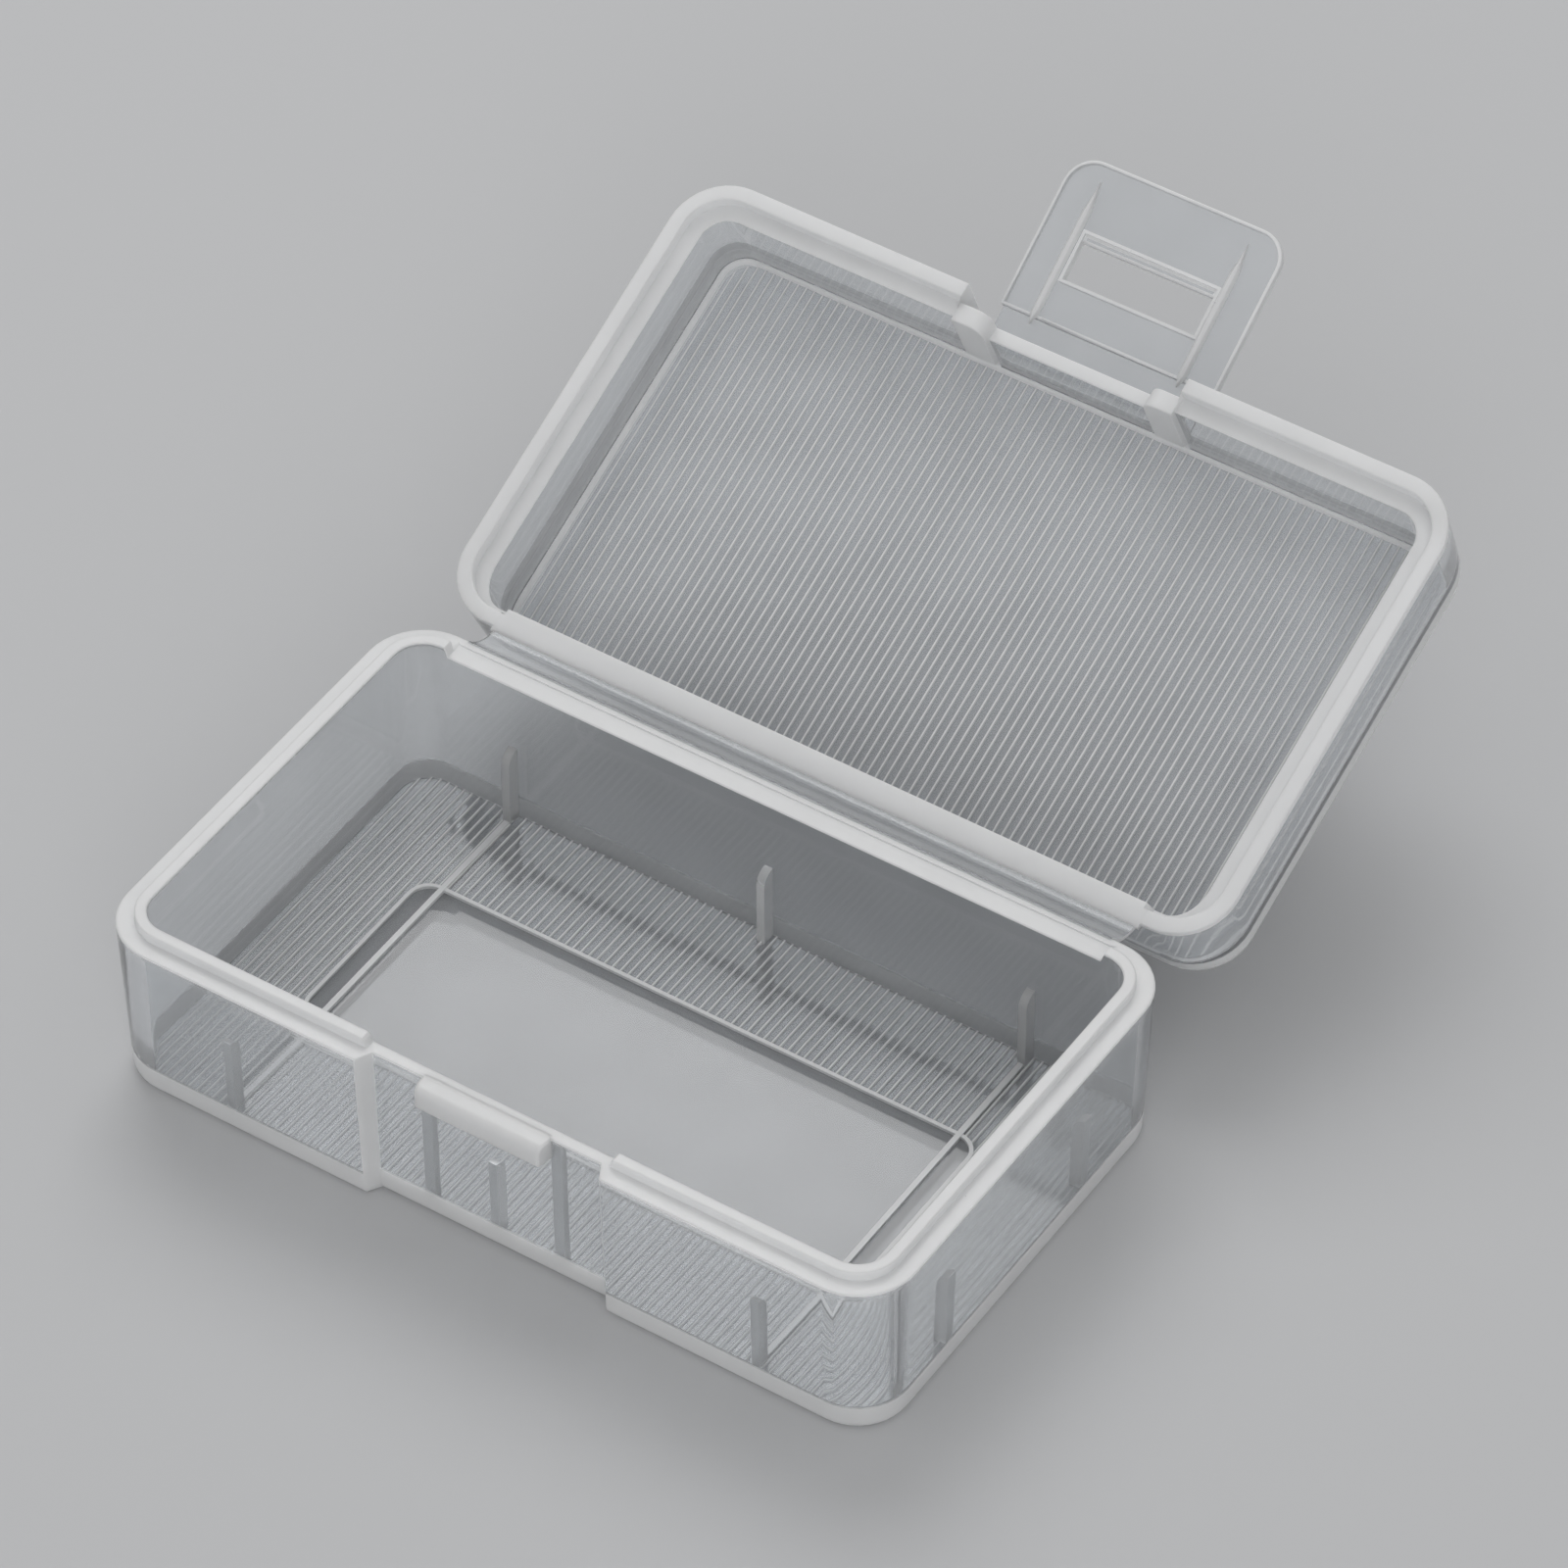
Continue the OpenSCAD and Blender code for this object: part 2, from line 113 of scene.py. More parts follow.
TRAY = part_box("base_tray")
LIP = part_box("left_locating_lip")
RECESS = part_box("latch_recess_wall")
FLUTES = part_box("floor_flutes")
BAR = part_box("latch_bar")
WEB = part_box("hinge_web")
SHELL = shut_box("lid_shell", LID_OUT)
SKIRT = shut_box("left_lid_skirt", LID_OUT)
LID_FLUTES = shut_box("lid_flutes", LID_OUT)
BAND = shut_box("lid_hinge_band", LID_OUT)
SET_BACK = shut_box("lid_set_back_wall", LID_OUT)
CHEEK = shut_box("right_notch_cheek", LID_OUT)
TAB = shut_box("latch_tab", LATCH_OUT)
FILM = shut_box("latch_film", LATCH_OUT)
TAB_RIBS = shut_box("latch_tab_ribs", LATCH_OUT)

CASE_L = TRAY[1].x - TRAY[0].x
CASE_W = TRAY[1].y - TRAY[0].y
TRAY_H = TRAY[1].z
WALL_T = RECESS[1].y - TRAY[0].y
LEDGE_W = LIP[0].x - TRAY[0].x
LIP_TOP = LIP[1].z
FLOOR_Z = FLUTES[0].z
RIM_Z = SKIRT[0].z
LID_D = SHELL[1].z - RIM_Z
SKIRT_D = SKIRT[1].z - RIM_Z
CAVITY_D = LID_FLUTES[1].z - RIM_Z
NOTCH_D = SET_BACK[1].z - RIM_Z


# What a user would change ---------------------------------


def length(name, description, default):
    """A length property, in metres, whose default is given in millimetres."""
    return bpy.props.FloatProperty(
        name=name, description=description, default=default * MM, min=0.0, precision=5,
        unit="LENGTH", subtype="DISTANCE",
    )


def number(name, description, default, top=1.0):
    """A plain number from 0 to a top value, which is 1 for a share."""
    return bpy.props.FloatProperty(
        name=name, description=description, default=default, min=0.0, max=top
    )


def colour(name, description, default):
    """A linear colour."""
    return bpy.props.FloatVectorProperty(
        name=name, description=description, default=default, size=3, min=0.0, max=1.0,
        subtype="COLOR",
    )


class CASE_PG_sizes(bpy.types.PropertyGroup):
    """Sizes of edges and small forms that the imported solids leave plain"""

    corner_r: length("Corner radius", "Outer corner radius, seen from above", 5.4)
    tray_draft: length("Tray draft", "How far the tray's walls draw in at the foot", 0.65)
    foot_r: length("Foot radius", "Round edge under the tray", 0.8)
    rim_r: length("Rim radius", "Round edges of the rims and the lip", 0.16)
    floor_edge: length("Floor edge", "Height of the milky edge of the floor plate", 2.5)
    floor_fillet: length("Floor fillet", "Round edge between the floor and the walls", 0.28)
    recess_jog: length("Recess step", "Run of the slanted step beside the latch recess", 0.9)
    recess_draft: length("Recess draft", "How far the recess wall draws in at the foot", 0.4)
    groove_from: length("Groove start", "Rear groove's distance from the inside", 0.95)
    groove_w: length("Groove width", "Width of the groove in the ledge by the hinge", 0.95)
    groove_d: length("Groove depth", "Depth of that groove", 0.14)
    lid_wall_t: length("Lid wall", "Thickness of the lid's front and end walls", 2.9)
    lid_back_t: length("Lid back wall", "Thickness of the lid's wall on the hinge side", 1.9)
    skirt_w: length("Skirt width", "Width of the lid's outer skirt", 1.4)
    lid_draft: length("Lid draft", "How far the lid's walls draw in at the top", 0.3)
    # The lid's milky edge is partly the plastic's own haze and partly a painted highlight.
    lid_edge: length("Lid edge", "Height of the milky edge of the lid's panel", 2.1)
    lid_edge_r: length("Lid edge radius", "Round edge of the lid's outside face", 1.1)
    cheek_r: length("Cheek radius", "Round corner of the notch's cheeks", 1.3)
    cheek_to: length("Cheek depth", "Depth to which the cheeks stand into the lid", 7.0)
    floor_pitch: length("Floor flute pitch", "Distance between flutes in the floor", 0.8)
    lid_pitch: length("Lid flute pitch", "Distance between flutes in the lid", 0.84)
    # The crest width is the width of the painted highlight along each flute's crest.
    crest_highlight_w: length("Crest width", "Width of the bright crest of a flute", 0.23)
    rib_t: length("Rib thickness", "Thickness of the ribs on the long walls", 0.8)
    web_t: length("Web thickness", "Thickness of the hinge web", 0.35)
    tab_r: length("Tab corner radius", "Radius of the tab's free corners", 2.8)
    tab_edge_r: length("Tab edge radius", "Round edges of the latch tab", 0.12)
    # The tab's milky border is a painted highlight for the bright edges of the tab.
    tab_edge_highlight: length("Tab border", "Width of the milky edge of the tab", 0.28)
    window_w: length("Window width", "Width of the window in the tab", 13.3)
    window_from: length("Window start", "Distance of the window from the hinge line", 6.85)
    window_to: length("Window end", "Distance of the window's far edge", 10.5)
    rebate_w: length("Rebate width", "Width of the rebate beyond the window", 0.8)
    rebate_d: length("Rebate depth", "Depth of that rebate", 0.3)


class CASE_PG_finish(bpy.types.PropertyGroup):
    """Colours and finish of the plastic"""

    wall_colour: colour("Wall colour", "Tint of the clear walls", (0.925, 0.945, 0.965))
    pane_colour: colour("Pane colour", "Tint of the smooth plates", (0.9, 0.915, 0.935))
    milky_colour: colour("Milky colour", "Colour of the thick edges", (0.9, 0.905, 0.91))
    wall_clear: number("Wall clearness", "Share of light that passes the walls", 0.89)
    flute_clear: number("Flute clearness", "Share of light that passes between crests", 0.84)
    pane_clear: number("Pane clearness", "Share of light that passes the smooth plates", 0.84)
    rib_clear: number("Rib clearness", "Share of light that passes the ribs", 0.75)
    rim_clear: number("Rim clearness", "Share of light that passes the rims", 0.25)
    # A crest's clearness sets how white the painted highlight on it is.
    crest_highlight_clear: number("Crest clearness", "Share of light that passes a flute's crest", 0.2)
    tab_clear: number("Tab clearness", "Share of light that passes the tab", 0.88)
    glow: number("Milky glow", "Share of light that spreads inside milky plastic", 0.85)
    glow_reach: length("Glow reach", "How far light spreads inside it", 1.5)
    wall_rough: number("Wall roughness", "Mean roughness of the walls", 0.015)
    rim_rough: number("Rim roughness", "Mean roughness of the rims", 0.32)
    flute_rough: number("Flute roughness", "Mean roughness of the fluted faces", 0.06)
    ior: number("Refraction", "Refractive index of the plastic", 1.49, 3.0)
    scratches: number("Scratches", "Depth of the fine scratches on the walls", 0.05)


class CASE_PG_stage(bpy.types.PropertyGroup):
    """The floor, the lamps and the camera"""

    floor_colour: colour("Floor colour", "Colour of the pale floor", (0.56, 0.565, 0.575))
    sky_strength: number("Sky strength", "Strength of the even light", 0.5, 5.0)
    key_power: number("Key lamp", "Power of the large lamp, in watts", 2.8, 50.0)
    fill_power: number("Fill lamp", "Power of the lamp on the latch side", 2.3, 50.0)
    camera_azimuth: number("Camera azimuth", "Degrees round from the latch side", 33.54, 360.0)
    camera_elevation: number("Camera elevation", "Degrees above the floor", 44.66, 90.0)
    camera_roll: bpy.props.FloatProperty(
        name="Camera roll", description="Degrees about the view", default=-0.17
    )
    camera_distance: length("Camera distance", "From the camera to its target", 759.7)
    camera_lens: number("Lens", "Focal length in millimetres", 207.27, 1000.0)


# Modelling ------------------------------------------------


def rounded(corners, steps=4):
    """A section's corners, each (across, up, radius), as points with its corners rounded."""
    points = []
    for index, (across, up, radius) in enumerate(corners):
        here = Vector((across, up))
        if radius == 0:
            points.append(here)
            continue
        before = Vector(corners[index - 1][:2])
        after = Vector(corners[index + 1][:2])
        start = here + (before - here).normalized() * radius
        end = here + (after - here).normalized() * radius
        for step in range(steps + 1):
            t = step / steps
            points.append(start * (1 - t) ** 2 + here * 2 * t * (1 - t) + end * t * t)
    return points


def only(kind, geom):
    """The points, edges or faces in what a bmesh operator returns."""
    return [item for item in geom if isinstance(item, kind)]


def new_row(bm, edges):
    """Extrudes a row of edges and returns the new row's points and edges."""
    geom = bmesh.ops.extrude_edge_only(bm, edges=edges)["geom"]
    verts = only(BMVert, geom)
    row = [e for e in only(BMEdge, geom) if set(e.verts) <= set(verts)]
    return verts, row


def extrude_row(bm, edges, offset):
    """Draws a row of edges out by an offset and returns the new row."""
    verts, row = new_row(bm, edges)
    bmesh.ops.translate(bm, verts=verts, vec=offset)
    return row


def turn_row(bm, edges, centre, steps):
    """Spins a row of edges a quarter turn about an upright line and returns the last row."""
    verts = list({v for e in edges for v in e.verts})
    geom = bmesh.ops.spin(
        bm, geom=verts + edges, cent=centre, axis=(0, 0, 1), dvec=(0, 0, 0),
        angle=math.pi / 2, steps=steps, use_duplicate=False,
    )["geom_last"]
    return only(BMEdge, geom)


def draw_to(bm, row, shape, x, side, half_w):
    """Draws a row on to a station of a long wall, with the section there."""
    layer = bm.verts.layers.int["row"]
    verts, row = new_row(bm, row)
    for vert in verts:
        out, up = shape[vert[layer]]
        vert.co = (x, side * (half_w + out), up)
    return row


def sweep(section, radius, front, rear, steps=10):
    """Carries a section, as (outwards from the corners' centres, height), round the case.

    Each station of the long walls is a distance from the middle and the section there. All
    sections have the same number of points, so a point may stand on a straight line of one
    section to pair with a corner of another."""
    half_l = CASE_L / 2 - radius
    half_w = CASE_W / 2 - radius
    bm = bmesh.new()
    layer = bm.verts.layers.int.new("row")
    verts = [bm.verts.new((-half_l, -half_w - out, up)) for out, up in section]
    for index, vert in enumerate(verts):
        vert[layer] = index
    row = [bm.edges.new(pair) for pair in zip(verts, verts[1:])]
    for side, stations in ((-1, front), (1, rear)):
        stops = [(side * x, shape) for x, shape in reversed(stations)]
        stops += [(-side * x, shape) for x, shape in stations]
        stops.append((-side * half_l, section))
        for x, shape in stops:
            row = draw_to(bm, row, shape, x, side, half_w)
        row = turn_row(bm, row, (-side * half_l, side * half_w, 0), steps)
        row = extrude_row(bm, row, (0, -side * 2 * half_w, 0))
        row = turn_row(bm, row, (-side * half_l, -side * half_w, 0), steps)
    return bm


def mixed(first, second, share, lip_share, level):
    """A section between two others, whose points above a level rise by another share."""
    points = []
    for (out, up), (far_out, far_up) in zip(first, second):
        rise = lip_share if max(up, far_up) > level else share
        points.append((out + (far_out - out) * share, up + (far_up - up) * rise))
    return points


def close_level(bm, level):
    """Fills the open loop at one height."""
    loop = [e for e in bm.edges
            if e.is_boundary and all(abs(v.co.z - level) < MERGE for v in e.verts)]
    bmesh.ops.contextual_create(bm, geom=loop)


def face_out(bm):
    """Turns every face outwards."""
    bmesh.ops.recalc_face_normals(bm, faces=bm.faces)


def tidy_shell(bm):
    """Merges what coincides and turns every face outwards."""
    bmesh.ops.remove_doubles(bm, verts=bm.verts, dist=MERGE)
    bmesh.ops.dissolve_degenerate(bm, edges=bm.edges, dist=MERGE)
    face_out(bm)


def faces_in(face):
    """Whether a wall's face looks towards the middle of the case."""
    centre = face.calc_center_median()
    return face.normal.x * centre.x + face.normal.y * centre.y < 0


def wall_slot(face, milky, plate):
    """The slot of a moulding's face: outer wall, milky edge, smooth plate or inner wall."""
    if plate:
        return 2
    if milky:
        return 1
    return 3 if faces_in(face) else 0


def draw_out(bm, faces, offset):
    """Extrudes faces by an offset and returns what is new."""
    geom = bmesh.ops.extrude_face_region(bm, geom=faces)["geom"]
    bmesh.ops.translate(bm, verts=only(BMVert, geom), vec=offset)
    return geom


def prism(bm, outline, depth):
    """Draws a flat outline of points out by a vector, and returns the far end's points."""
    face = bm.faces.new([bm.verts.new(point) for point in outline])
    geom = draw_out(bm, [face], depth)
    face_out(bm)
    return only(BMVert, geom)


def bevel(bm, geom, radius, segments, affect="EDGES"):
    """Rounds edges, or the corners of a flat face."""
    bmesh.ops.bevel(
        bm, geom=geom, offset=radius, segments=segments, profile=0.5, affect=affect,
        material=-1, clamp_overlap=affect == "EDGES",
    )


def round_edges(bm, radius, segments=3, least=CORNER_ANGLE):
    """Rounds the edges that turn by more than an angle."""
    bevel(bm, [e for e in bm.edges if e.calc_face_angle(0) > least], radius, segments)


def add_copy(target, bm, matrix):
    """Adds a placed copy of a bmesh to another."""
    mesh = bpy.data.meshes.new("copy")
    bm.to_mesh(mesh)
    mesh.transform(matrix)
    target.from_mesh(mesh)
    bpy.data.meshes.remove(mesh)


def new_object(name, data):
    """An object of the scene with its data."""
    obj = bpy.data.objects.new(name, data)
    bpy.context.scene.collection.objects.link(obj)
    return obj


def piece(name, bm, body, nodes, slot, *materials, place=None):
    """Turns a bmesh into a finished object that rides on a body, or on none."""
    face_out(bm)
    if place is not None:
        bmesh.ops.transform(bm, matrix=place, verts=bm.verts)
    for face in bm.faces:
        face.smooth = True
    for edge in bm.edges:
        edge.smooth = edge.calc_face_angle(0) < SHARP_ANGLE
    mesh = bpy.data.meshes.new(name)
    bm.to_mesh(mesh)
    bm.free()
    obj = new_object(name, mesh)
    for material in materials:
        mesh.materials.append(material)
    if body:
        weighted = obj.modifiers.new("flat faces stay flat", "WEIGHTED_NORMAL")
        weighted.keep_sharp = True
        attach(obj, body)
    if nodes:
        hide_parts(*nodes)
    return obj


# Materials ------------------------------------------------

# The noise that clouds the tint, that varies the gloss and that makes the scratches: its
# waves per metre and its detail. The scratches' waves are the flow lines'.
CLOUD_NOISE = (140.0, 3.0)
GLOSS_NOISE = (900.0, 5.0)
SCRATCH_NOISE = (1.0, 6.0)
# Where the cloud is darkest and lightest, each as the noise and the share of the tint there.
CLOUD_DARK = (0.3, 0.965)
CLOUD_LIGHT = (0.72, 1.02)
# The range of the roughness, as shares of its mean.
GLOSS_RANGE = (0.7, 1.35)
# Waves per metre of the flow lines, which run round the walls and along the films.
WALL_FLOW = (60.0, 60.0, 2400.0)
FILM_FLOW = (40.0, 900.0, 900.0)
# The scratches' greatest depth, and the share of it on the smooth plates and on the flutes.
SCRATCH_DEPTH = 0.1 * MM
PANE_SCRATCHES = 0.03
FLUTE_SCRATCHES = 0.04
# Where the painted highlight on a flute's crest starts and stops fading, as shares of half its
# width.
CREST_HIGHLIGHT_FADE = (0.4, 1.2)


def add_node(material, kind, inputs, **settings):
    """Adds a node to a material. Each input gets a value, or the socket that feeds it."""
    node = material.node_tree.nodes.new("ShaderNode" + kind)
    for name, setting in settings.items():
        setattr(node, name, setting)
    for name, value in inputs.items():
        if isinstance(value, bpy.types.NodeSocket):
            material.node_tree.links.new(value, node.inputs[name])
        else:
            node.inputs[name].default_value = value
    return node


def noise(material, vector, waves, detail):
    """The strength of a noise at a vector."""
    inputs = {"Vector": vector, "Scale": waves, "Detail": detail}
    return add_node(material, "TexNoise", inputs).outputs["Fac"]


def ramp_of(material, amount, points):
    """A colour that follows an amount from point to point, each an amount and its colour."""
    node = add_node(material, "ValToRGB", {"Fac": amount})
    marks = node.color_ramp.elements
    while len(marks) < len(points):
        marks.new(0.5)
    for mark, (where, tint) in zip(marks, points):
        mark.position = where
        mark.color = [*tint, 1]
    return node.outputs["Color"]


def place_along(material, axis, to_frame=None):
    """The place along an axis, in the object's frame or in the one that a matrix leads to."""
    place = add_node(material, "TexCoord", {}).outputs["Object"]
    if to_frame is not None:
        place = add_node(material, "Mapping", {
            "Vector": place, "Rotation": to_frame.to_euler(),
            "Location": to_frame.to_translation()}).outputs["Vector"]
    return add_node(material, "SeparateXYZ", {"Vector": place}).outputs[axis]


def feed(material, value, socket):
    """Links a value to an input of a material's shader."""
    shader = material.node_tree.nodes["Principled BSDF"]
    material.node_tree.links.new(value, shader.inputs[socket])


def raise_with(material, amount, least, most, socket):
    """Takes a shader's input from one number to another as an amount goes from 0 to 1."""
    span = add_node(material, "MapRange", {"Value": amount, "To Min": least, "To Max": most})
    feed(material, span.outputs["Result"], socket)


def moulded_plastic(name, tint, clear, rough, glow=0.0, scratches=None, flow=WALL_FLOW):
    """Moulded plastic: cloudy tint, uneven gloss, faint flow lines and fine scratches."""
    finish = bpy.context.scene.case_finish
    material = bpy.data.materials.new(name)
    material.use_nodes = True
    shader = material.node_tree.nodes["Principled BSDF"]
    shader.inputs["Transmission Weight"].default_value = clear
    shader.inputs["IOR"].default_value = finish.ior
    shader.inputs["Subsurface Weight"].default_value = glow
    shader.inputs["Subsurface Radius"].default_value = (1.0, 1.0, 1.0)
    shader.inputs["Subsurface Scale"].default_value = finish.glow_reach

    place = add_node(material, "TexCoord", {}).outputs["Object"]
    tints = [(where, [min(1, c * amount) for c in tint])
             for where, amount in (CLOUD_DARK, CLOUD_LIGHT)]
    cloud = noise(material, place, *CLOUD_NOISE)
    feed(material, ramp_of(material, cloud, tints), "Base Color")

    least, most = GLOSS_RANGE
    gloss = noise(material, place, *GLOSS_NOISE)
    raise_with(material, gloss, rough * least, rough * most, "Roughness")

    lines = add_node(material, "Mapping", {"Vector": place, "Scale": flow})
    relief = add_node(material, "Bump", {
        "Height": noise(material, lines.outputs["Vector"], *SCRATCH_NOISE),
        "Strength": finish.scratches if scratches is None else scratches,
        "Distance": SCRATCH_DEPTH})
    feed(material, relief.outputs["Normal"], "Normal")
    return material


def turn_milky(material, amount, clear, milky_clear):
    """Turns clear plastic into milky plastic as an amount goes from 0 to 1."""
    shader = material.node_tree.nodes["Principled BSDF"]
    tint = add_node(material, "Mix", {}, data_type="RGBA")
    links = material.node_tree.links
    links.new(amount, tint.inputs["Factor"])
    links.new(shader.inputs["Base Color"].links[0].from_socket, tint.inputs["A"])
    tint.inputs["B"].default_value = [*bpy.context.scene.case_finish.milky_colour, 1]
    feed(material, tint.outputs["Result"], "Base Color")
    raise_with(material, amount, clear, milky_clear, "Transmission Weight")


def made_once(make):
    """Lets a function make its material, under its own name, the first time it is called."""
    name = make.__name__
    return lambda: bpy.data.materials.get(name) or make(name, bpy.context.scene.case_finish)


def wall_plastic(name, finish):
    """Clear, without the haze of the edges behind it."""
    return moulded_plastic(name, finish.wall_colour, finish.wall_clear, finish.wall_rough)


def hazy_plastic(name, finish, to_depth, depth, levels):
    """Wall plastic that turns milky with depth, where more of it lies behind the surface.

    Each level is a share of the depth and the haze there."""
    material = wall_plastic(name, finish)
    place = place_along(material, "Z", to_depth)
    down = add_node(material, "MapRange", {"Value": place, "From Max": depth})
    greys = [(where, (haze, haze, haze)) for where, haze in levels]
    haze = ramp_of(material, down.outputs["Result"], greys)
    turn_milky(material, haze, finish.wall_clear, finish.rim_clear)
    raise_with(material, haze, 0, finish.glow, "Subsurface Weight")
    return material


@made_once
def tray_wall_plastic(name, finish):
    """Milky at the edge of the floor plate, and a little below the rim."""
    foot = bpy.context.scene.case_sizes.floor_edge / TRAY_H
    levels = (
        (0.0, 1.0), (foot, 1.0), (foot + 0.02, 0.08), (0.35, 0.02), (0.9, 0.0), (1.0, 0.25))
    return hazy_plastic(name, finish, Matrix.Identity(4), TRAY_H, levels)


@made_once
def lid_wall_plastic(name, finish):
    """Milky at the edge of the panel, and less so below the rim. The milky edge is partly the
    thick edge's own haze and partly a painted highlight for the bright band that light makes
    along the lid's outer edge.
    """
    edge = 1 - bpy.context.scene.case_sizes.lid_edge / LID_D
    levels = (
        (0.0, 0.4), (0.12, 0.1), (0.3, 0.0), (edge - 0.03, 0.05), (edge, 1.0), (1.0, 1.0))
    to_depth = Matrix.Translation((0, 0, -RIM_Z)) @ LID_OUT.inverted()
    return hazy_plastic(name, finish, to_depth, LID_D, levels)


@made_once
def inner_wall_plastic(name, finish):
    """The plain wall plastic, for the faces inside."""
    return wall_plastic(name, finish)


@made_once
def smooth_pane_plastic(name, finish):
    """The smooth plates of the floor and the lid."""
    return moulded_plastic(name, finish.pane_colour, finish.pane_clear, finish.wall_rough,
                           scratches=PANE_SCRATCHES)


@made_once
def rib_plastic(name, finish):
    """The ribs on the walls, clearer than the rims."""
    return moulded_plastic(name, finish.milky_colour, finish.rib_clear, finish.rim_rough)


@made_once
def milky_rim_plastic(name, finish):
    """Thick rims, in which light spreads."""
    return moulded_plastic(
        name, finish.milky_colour, finish.rim_clear, finish.rim_rough, finish.glow)


@made_once
def milky_line_and_highlight_plastic(name, finish):
    """Fine milky lines, too thin for light to spread in; on the latch tab's edges and stand-off
    ribs the same white is a painted highlight.
    """
    return moulded_plastic(name, finish.milky_colour, finish.rim_clear, finish.rim_rough)


@made_once
def thin_film_plastic(name, finish):
    """The films of the hinges and the latch tab."""
    return moulded_plastic(name, finish.wall_colour, finish.tab_clear, finish.flute_rough,
                           flow=FILM_FLOW)


def wall_slots(outer_wall_plastic):
    """The materials of a moulding, in the order of wall_slot's numbers."""
    return (
        outer_wall_plastic(), milky_rim_plastic(), smooth_pane_plastic(), inner_wall_plastic())


def fluted_plastic(name, pitch):
    """Clear plastic with ridges across X, one at every pitch, whose crests get a milky band as a
    painted highlight along each ridge.
    """
    finish = bpy.context.scene.case_finish
    material = moulded_plastic(name, finish.wall_colour, finish.flute_clear,
                               finish.flute_rough, scratches=FLUTE_SCRATCHES)
    # Each crest gets a milky band: a painted highlight for the bright line that light draws
    # along the ridge.
    place = place_along(material, "X")
    ridge = add_node(material, "Math", {0: place, 1: pitch / 2}, operation="PINGPONG")
    half = bpy.context.scene.case_sizes.crest_highlight_w / 2
    crest = add_node(material, "MapRange", {
        "Value": ridge.outputs["Value"], "From Min": half * CREST_HIGHLIGHT_FADE[0],
        "From Max": half * CREST_HIGHLIGHT_FADE[1], "To Min": 1, "To Max": 0,
    }, interpolation_type="SMOOTHSTEP")
    turn_milky(material, crest.outputs["Result"], finish.flute_clear, finish.crest_highlight_clear)
    return material


# Operators ------------------------------------------------


# The slanted step beside the latch recess. Each station is a share of the step's run, the
# share of its depth there, and how far the locating lip has risen.
STEP_STATIONS = (
    (0, 0, 0), (0.08, 0.03, 0), (0.25, 0.21, 0), (0.5, 0.5, 0), (0.75, 0.79, 0),
    (0.92, 0.97, 0.2), (1, 1, 0.55), (1.12, 1, 0.85), (1.3, 1, 1),
)
# The end of the groove by the hinge, as shares of its run and of the lip's height there.
GROOVE_STATIONS = ((0, 0), (0.3, 0.25), (0.7, 0.8), (1, 1))
GROOVE_RUN = 0.4 * MM


class CASE_OT_tray_moulding(bpy.types.Operator):
    """Shape the tray's floor, walls, ledge and locating lip in one moulding"""

    bl_idname = "case.tray_moulding"
    bl_label = "Tray moulding"

    def execute(self, context):
        s = context.scene.case_sizes
        r = s.corner_r
        ledge = r - LEDGE_W
        inner = r - WALL_T
        floor = FLOOR_Z - AIR
        groove = inner + s.groove_from
        top = TRAY_H
        tiny = AIR / 2
        bead = s.rim_r / 4
        floor_corners = [
            (inner, floor, s.floor_fillet), (inner - 1.5 * s.floor_fillet, floor, 0)]

        def wall_below(foot, wall_top, draft):
            """A section from the underside up the outside of a wall."""
            return [
                (foot - 2 * s.foot_r, 0, 0), (foot, 0, s.foot_r),
                (foot + draft * s.floor_edge / top, s.floor_edge, 0), (wall_top, top, s.rim_r)]

        # Points on the straight tops of the ledge and the recess pair with the groove's edges.
        wall = wall_below(r - s.tray_draft, r, s.tray_draft)
        base = rounded(
            wall + [(r - part * LEDGE_W, top, 0) for part in (0.3, 0.4, 0.6)]
            + [(ledge, top, bead), (ledge, LIP_TOP, s.rim_r), (inner, LIP_TOP, s.rim_r)]
            + floor_corners)
        hinge_side = rounded(wall + [
            (groove + s.groove_w, top, 0), (groove + s.groove_w - tiny, top - s.groove_d, 0),
            (groove + tiny, top - s.groove_d, 0), (groove, top, tiny / 2),
            (groove - 4 * tiny, top, tiny), (inner, top, s.rim_r)] + floor_corners)
        back = -RECESS[0].y - (CASE_W / 2 - r)
        recess_top = ((2, 0), (2.2, 0), (2.4, 0), (2.8, tiny), (3.2, tiny))
        recess = rounded(
            wall_below(back - s.recess_draft, back, s.recess_draft)
            + [(back - rims * s.rim_r, top, radius) for rims, radius in recess_top]
            + [(inner, top, s.rim_r)] + floor_corners)
        start = RECESS[1].x
        front = [(start + s.recess_jog * run, mixed(recess, base, step, lip, top + MERGE))
                 for run, step, lip in STEP_STATIONS]
        # The groove runs on a little past the lid's hinge band.
        end = BAND[1].x + 6 * AIR
        rear = [(end + GROOVE_RUN * run, mixed(hinge_side, base, run, lip, top + MERGE))
                for run, lip in GROOVE_STATIONS]
        bm = sweep(base, r, front, rear)
        bmesh.ops.remove_doubles(bm, verts=bm.verts, dist=MERGE)
        close_level(bm, 0)
        close_level(bm, floor)
        tidy_shell(bm)
        for face in bm.faces:
            centre = face.calc_center_median()
            low = centre.z < s.floor_edge
            level = abs(face.normal.z) > LEVEL
            edge = low and not level and not faces_in(face)
            step = start < abs(centre.x) < start + s.recess_jog and centre.y < RECESS[1].y
            rim = centre.z > top - s.rim_r
            face.material_index = wall_slot(face, rim or edge or step, level and low)
        nodes = ["base_tray", "latch_recess_wall", "left_locating_lip", "right_locating_lip"]
        piece("tray_moulding", bm, "tray", nodes, "clear_wall", *wall_slots(tray_wall_plastic))
        return {"FINISHED"}


